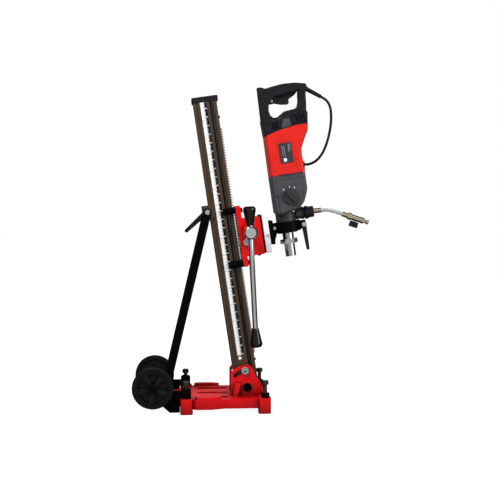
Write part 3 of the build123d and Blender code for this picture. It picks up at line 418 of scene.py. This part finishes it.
def piece(name, bm, place, body, material, bevel=0.0):
    """Makes bm, drawn in millimetres in place's frame, a named piece that rides on body."""
    bmesh.ops.remove_doubles(bm, verts=bm.verts, dist=WELD)
    bm.transform(place)
    bmesh.ops.recalc_face_normals(bm, faces=bm.faces)
    mesh = bpy.data.meshes.new(name)
    bm.to_mesh(mesh)
    bm.free()
    mesh.shade_smooth()
    mesh.set_sharp_from_angle(angle=SHARP_ABOVE)
    obj = bpy.data.objects.new(name, mesh)
    bpy.context.scene.collection.objects.link(obj)
    mesh.materials.append(material)
    if bevel:
        modifier = obj.modifiers.new("edges", "BEVEL")
        modifier.width = bevel
        modifier.segments = 2
        modifier.limit_method = "ANGLE"
        modifier.angle_limit = BEVEL_ABOVE
    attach(obj, body)
    return obj


def crisp(node, width, finishes):
    """The CAD node's own shape with its sharp edges rounded by width, in metres."""
    bm = bmesh.new()
    bm.from_mesh(frame["nodes"][node].data)
    bmesh.ops.remove_doubles(bm, verts=bm.verts, dist=WELD_CAD)
    bmesh.ops.dissolve_limit(bm, angle_limit=FLAT_BELOW, verts=bm.verts, edges=bm.edges)
    slot = SLOT_OF[node]
    obj = piece(node + "_edged", bm, Matrix.Identity(4), BODY_OF[node], finishes[slot], width)
    obj.modifiers["edges"].harden_normals = True
    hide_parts(node)


# --- cords ------------------------------------------------------------------
# in metres, in the frame at rest: the lead leaves the D-handle, drops to the coil and ends at the plug
LEAD_ACROSS, HOSE_ACROSS = 0.008, 0.013
HOSE_ROUTE = [(0.282, 0.0, 0.5922), (0.300, 0.0, 0.5942), (0.320, 0.0, 0.5932), (0.337, 0.0, 0.5889),
              (0.354, 0.0, 0.5834), (0.3715, 0.0, 0.5776)]
CORD_ROUTE = [(0.292, 0.0, 0.933), (0.306, 0.001, 0.926), (0.317, 0.004, 0.914), (0.3235, 0.008, 0.897),
              (0.326, 0.013, 0.875), (0.3255, 0.019, 0.848), (0.3215, 0.025, 0.820), (0.314, 0.031, 0.791),
              (0.3035, 0.037, 0.765), (0.289, 0.0435, 0.7455), (0.270, 0.051, 0.7335), (0.249, 0.058, 0.7315),
              (0.228, 0.0635, 0.737), (0.208, 0.067, 0.7443), (0.189, 0.069, 0.7514)]
CORD_TAIL = [(0.2412, 0.0936, 0.796), (0.2402, 0.094, 0.784), (0.240, 0.094, 0.772)]
COIL_AT = Vector((0.188, 0.081, 0.808))
COIL_START = math.radians(-110)
COIL_TURNS, POINTS_PER_TURN, LAYERS = 9 - 110 / 360, 16, 4
MEAN_RADIUS, RADIUS_SWING, LAYER_PITCH = 0.044, 0.0089, 0.0081
CHANGE_OVER = 0.14                      # share of a layer in which the lead steps to the next
CURVE_INSIDE = 0.981                    # the curve's radius over its points' radius


def coil_points():
    """Turns of the coil: four layers, wound in and out by turns, from the lower left round to the right."""
    count = round(COIL_TURNS * POINTS_PER_TURN)
    points = []
    for i in range(count + 1):
        layer = LAYERS * i / count
        number = min(int(layer), LAYERS - 1)
        along = layer - number
        swing = 1 - 2 * along if number % 2 == 0 else 2 * along - 1
        depth = -(LAYERS - 1) / 2
        for step in range(1, LAYERS):
            share = min(max((layer - step + CHANGE_OVER / 2) / CHANGE_OVER, 0), 1)
            depth += share * share * (3 - 2 * share)
        radius = (MEAN_RADIUS + RADIUS_SWING * swing) / CURVE_INSIDE
        angle = COIL_START - 2 * math.pi * COIL_TURNS * i / count
        points.append((COIL_AT.x + radius * math.cos(angle), COIL_AT.y + LAYER_PITCH * depth,
                       COIL_AT.z + radius * math.sin(angle)))
    return points


def spline_tube(name, points, diameter, material):
    curve = bpy.data.curves.new(name, "CURVE")
    curve.dimensions = "3D"
    curve.resolution_u = 6
    spline = curve.splines.new("NURBS")
    spline.points.add(len(points) - 1)
    for target, source in zip(spline.points, points):
        target.co = (*source, 1)
    spline.order_u = 3
    spline.use_endpoint_u = True
    curve.bevel_depth = diameter / 2
    curve.bevel_resolution = 5
    curve.use_fill_caps = True
    curve.materials.append(material)
    obj = bpy.data.objects.new(name, curve)
    bpy.context.scene.collection.objects.link(obj)
    return obj


def make_cords(finishes):
    route = CORD_ROUTE + coil_points() + CORD_TAIL
    lead = spline_tube("mains_lead", route, LEAD_ACROSS, finishes["black_rubber"])
    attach(lead, "motor")
    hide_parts("mains_cord", "cord_coil")
    hose = spline_tube("feed_hose", HOSE_ROUTE, HOSE_ACROSS, finishes["hose"])
    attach(hose, "motor")
    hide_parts("water_hose")


# --- detail -----------------------------------------------------------------
# in millimetres, in the column's frame: X along the rig, Y to the far side, Z up the column
SCALE_ZERO, SCALE_LENGTH, EIGHTH_INCH = 100, 750, 25.4 / 8
SEAM = (-46.2, -45.7)                   # Y of the lines that stand on the gear case
SELECTOR, DOTS_OUT = (210, 543), 30
BOLT_Z, BOLT_FACE_Y = 51, 59.2
ROLLER_X, ROLLER_Y, ROLLER_Z = (6, 24.5), 39, (527, 368)
THREAD_AT, THREAD_PITCH, THREAD_RINGS = (191, 0, 385.2), 3.63, 10


def add_number(bm, text, size, centre, y):
    """Digits as flat faces, facing -Y, in the frame that bm is drawn in."""
    curve = bpy.data.curves.new("digits", "FONT")
    curve.body = text
    curve.size = size
    curve.align_x = "CENTER"
    curve.align_y = "CENTER"
    curve.resolution_u = 2
    obj = bpy.data.objects.new("digits", curve)
    mesh = bpy.data.meshes.new_from_object(obj)
    mesh.transform(Matrix.Translation((centre[0], y, centre[1])) @ Matrix.Rotation(math.pi / 2, 4, "X"))
    bm.from_mesh(mesh)
    bpy.data.meshes.remove(mesh)
    bpy.data.objects.remove(obj)
    bpy.data.curves.remove(curve)


def make_scale(finishes):
    """Centimetres in black on the white strip, inches in white on the black one."""
    bm = bmesh.new()
    add_box(bm, (-3, -30.5, 96.2), (4.9, -30.35, 854.8))
    piece("inch_strip", bm, COLUMN, "column", finishes["strip_black"])
    bm = bmesh.new()
    for step in range(SCALE_LENGTH + 1):
        length, half = (3.6, 0.6) if step % 10 == 0 else (2.6, 0.2) if step % 5 == 0 else (1.6, 0.12)
        z = SCALE_ZERO + step
        add_box(bm, (-3.2 - length, -30.52, z - half), (-3.2, -30.38, z + half))
        if step % 50 == 0 and step:
            add_number(bm, str(step // 10), 5.0, (-12.4, z), -30.53)
    piece("centimetre_marks", bm, COLUMN, "column", finishes["mark_black"])
    bm = bmesh.new()
    for step in range(int(SCALE_LENGTH / EIGHTH_INCH) + 1):
        length, half = (6.0, 1.0) if step % 8 == 0 else (2.4, 0.3) if step % 4 == 0 else (1.2, 0.15)
        z = SCALE_ZERO + step * EIGHTH_INCH
        add_box(bm, (-2.7, -30.62, z - half), (-2.7 + length, -30.45, z + half))
    piece("inch_marks", bm, COLUMN, "column", finishes["mark_white"])


def add_line(bm, points, width, low_y, high_y):
    """Flat strip along (x, z) points, from one Y to another."""
    for (x0, z0), (x1, z1) in zip(points, points[1:]):
        along = Vector((x1 - x0, z1 - z0)).normalized() * (width / 2)
        side = Vector((-along.y, along.x))
        corners = [(x0, z0, -1, 1), (x0, z0, -1, -1), (x1, z1, 1, -1), (x1, z1, 1, 1)]
        outline = [(x + e * along.x + f * side.x, z + e * along.y + f * side.y) for x, z, e, f in corners]
        add_plate(bm, outline, low_y, high_y)


def make_label(finishes):
    """Plain label plate with bars and a disc, and the raised frame round it."""
    bm = bmesh.new()
    add_box(bm, (194.5, -45.9, 643), (233.5, -45.1, 703))
    piece("label_plate", bm, COLUMN, "motor", finishes["label"], 0.0003)
    bm = bmesh.new()
    for x, low, high in ((205, 668, 694), (211, 662, 694), (224, 676, 698), (228, 682, 698)):
        add_line(bm, [(x, low), (x, high)], 1.6, -46.0, -45.88)
    piece("label_bars", bm, COLUMN, "motor", finishes["mark_grey"])
    bm = bmesh.new()
    add_disc(bm, 5.5, 0.12, (210, -45.88, 653), (0, -1, 0), 40)
    piece("label_disc", bm, COLUMN, "motor", finishes["mark_white"])
    bm = bmesh.new()
    add_line(bm, [(187, 631), (241, 634), (239, 712), (187, 712), (187, 631)], 1.3, -46.45, -45.8)
    piece("label_frame", bm, COLUMN, "motor", finishes["shell_red"], 0.0003)


def make_motor_detail(finishes):
    """Dots round the gear selector, black slots painted as the shade in the vents, seams of the case, and the
    handle's patch and screws.
    """
    bm = bmesh.new()
    x, z = SELECTOR
    for angle in (-37, 0, 30):
        a = math.radians(angle)
        at = (x + DOTS_OUT * math.sin(a), -46.05, z + DOTS_OUT * math.cos(a))
        add_disc(bm, 1.9, 0.25, at, (0, -1, 0), 24)
    piece("gear_marks", bm, COLUMN, "motor", finishes["mark_white"])
    bm = bmesh.new()
    # black slots: painted shade of the vent openings; the line after them is a seam
    for x in range(184, 256, 9):
        add_box(bm, (x, -46.25, 606.2), (x + 7.4, -45.7, 612.4))
    add_line(bm, [(163, 609.5), (178, 609.5)], 1.6, *SEAM)
    piece("vent_shade_and_seam", bm, COLUMN, "motor", finishes["mark_black"])
    bm = bmesh.new()
    add_line(bm, [(164, 549.5), (173, 549.5)], 2.6, *SEAM)
    add_line(bm, [(173, 549.5), (173, 498), (186, 498), (210, 508), (235, 527), (246, 540), (252, 557)], 2.0,
             *SEAM)
    add_line(bm, [(166, 597), (262, 597)], 1.2, -46.15, -45.7)
    piece("case_lines", bm, COLUMN, "motor", finishes["mark_black"])
    bm = bmesh.new()
    add_plate(bm, [(220, 774), (239, 773), (242, 751), (213, 747)], -45.7, -44.5)
    piece("handle_patch", bm, COLUMN, "motor", finishes["case_grey"], 0.0006)
    bm = bmesh.new()
    for x, z, y in ((177, 857, 19.2), (176, 798, 19.2), (252, 782, 43.2), (252, 755, 43.2), (179, 760, 43.2)):
        for side in (-1, 1):
            add_lathe(bm, [(2.4, 0), (2.4, 0.8), (1.8, 1.3), (1.2, 1.3), (0.9, 0.6), (0, 0.6)],
                      (x, side * (y - 1.5), z), (0, side, 0), 24)
    piece("handle_screws", bm, COLUMN, "motor", finishes["strip_black"])


def make_painted_socket_shade(finishes):
    """Painted shade: a black ring and a black hexagon on the faces of the bright bolt heads, for the shaded
    step and socket.
    """
    bm = bmesh.new()
    for side in (-1, 1):
        at = (0, side * BOLT_FACE_Y, BOLT_Z)
        add_lathe(bm, [(8.6, 0), (8.6, 0.25), (7.4, 0.25), (7.4, 0)], at, (0, side, 0), 40)
        add_disc(bm, 4.2, 0.25, at, (0, side, 0), 6)
    piece("tilt_bolt_socket_shade", bm, COLUMN, "column", finishes["mark_black"])


def make_rollers(finishes):
    """Ribbed guide rollers on the carriage's arms."""
    bm = bmesh.new()
    for z in ROLLER_Z:
        for side in (-1, 1):
            for start in ROLLER_X:
                profile = [(0, 0), (6, 0), (8.5, 1.5)]
                for rib in range(4):
                    x = 1.5 + rib * 3.4
                    profile += [(9.8, x + 0.5), (9.8, x + 2.2), (8.6, x + 2.6), (8.6, x + 3.2)]
                profile += [(8.5, 15.5), (6, 17), (0, 17)]
                add_lathe(bm, profile, (start, side * ROLLER_Y, z), (1, 0, 0), 40)
    piece("guide_rollers", bm, COLUMN, "carriage", finishes["black_paint"])


def make_threads(finishes):
    """Rings of thread on the spindle, and the threaded finish for the levelling screws."""
    bm = bmesh.new()
    profile = [(15.7, 0)]
    for i in range(THREAD_RINGS):
        z = 1.5 + i * THREAD_PITCH
        profile += [(15.8, z), (16.25, z + 1.2), (16.25, z + 1.8), (15.8, z + 3.0)]
    profile.append((15.7, 38))
    add_lathe(bm, profile, THREAD_AT, (0, 0, 1), 64)
    piece("spindle_thread", bm, COLUMN, "spindle", finishes["steel"])
    for end in ("front", "rear"):
        for side in ("near", "far"):
            paint(frame["nodes"]["levelling_screw_" + end + "_" + side], finishes["thread"])


def main():
    finishes = make_finishes()
    set_camera()
    set_studio()
    make_cords(finishes)
    for name, node in frame["nodes"].items():
        paint(node, finishes[SLOT_OF[name]])
    make_scale(finishes)
    # the rim and bracket finishes carry painted shade in their recesses
    for side in ("near", "far"):
        paint(frame["nodes"][side + "_wheel_rim"], finishes["rim"])
    paint(frame["nodes"]["motor_bracket"], finishes["bracket"])
    make_label(finishes)
    make_motor_detail(finishes)
    make_rollers(finishes)
    make_painted_socket_shade(finishes)
    make_threads(finishes)
    for node, width in EDGED.items():
        crisp(node, width, finishes)


main()
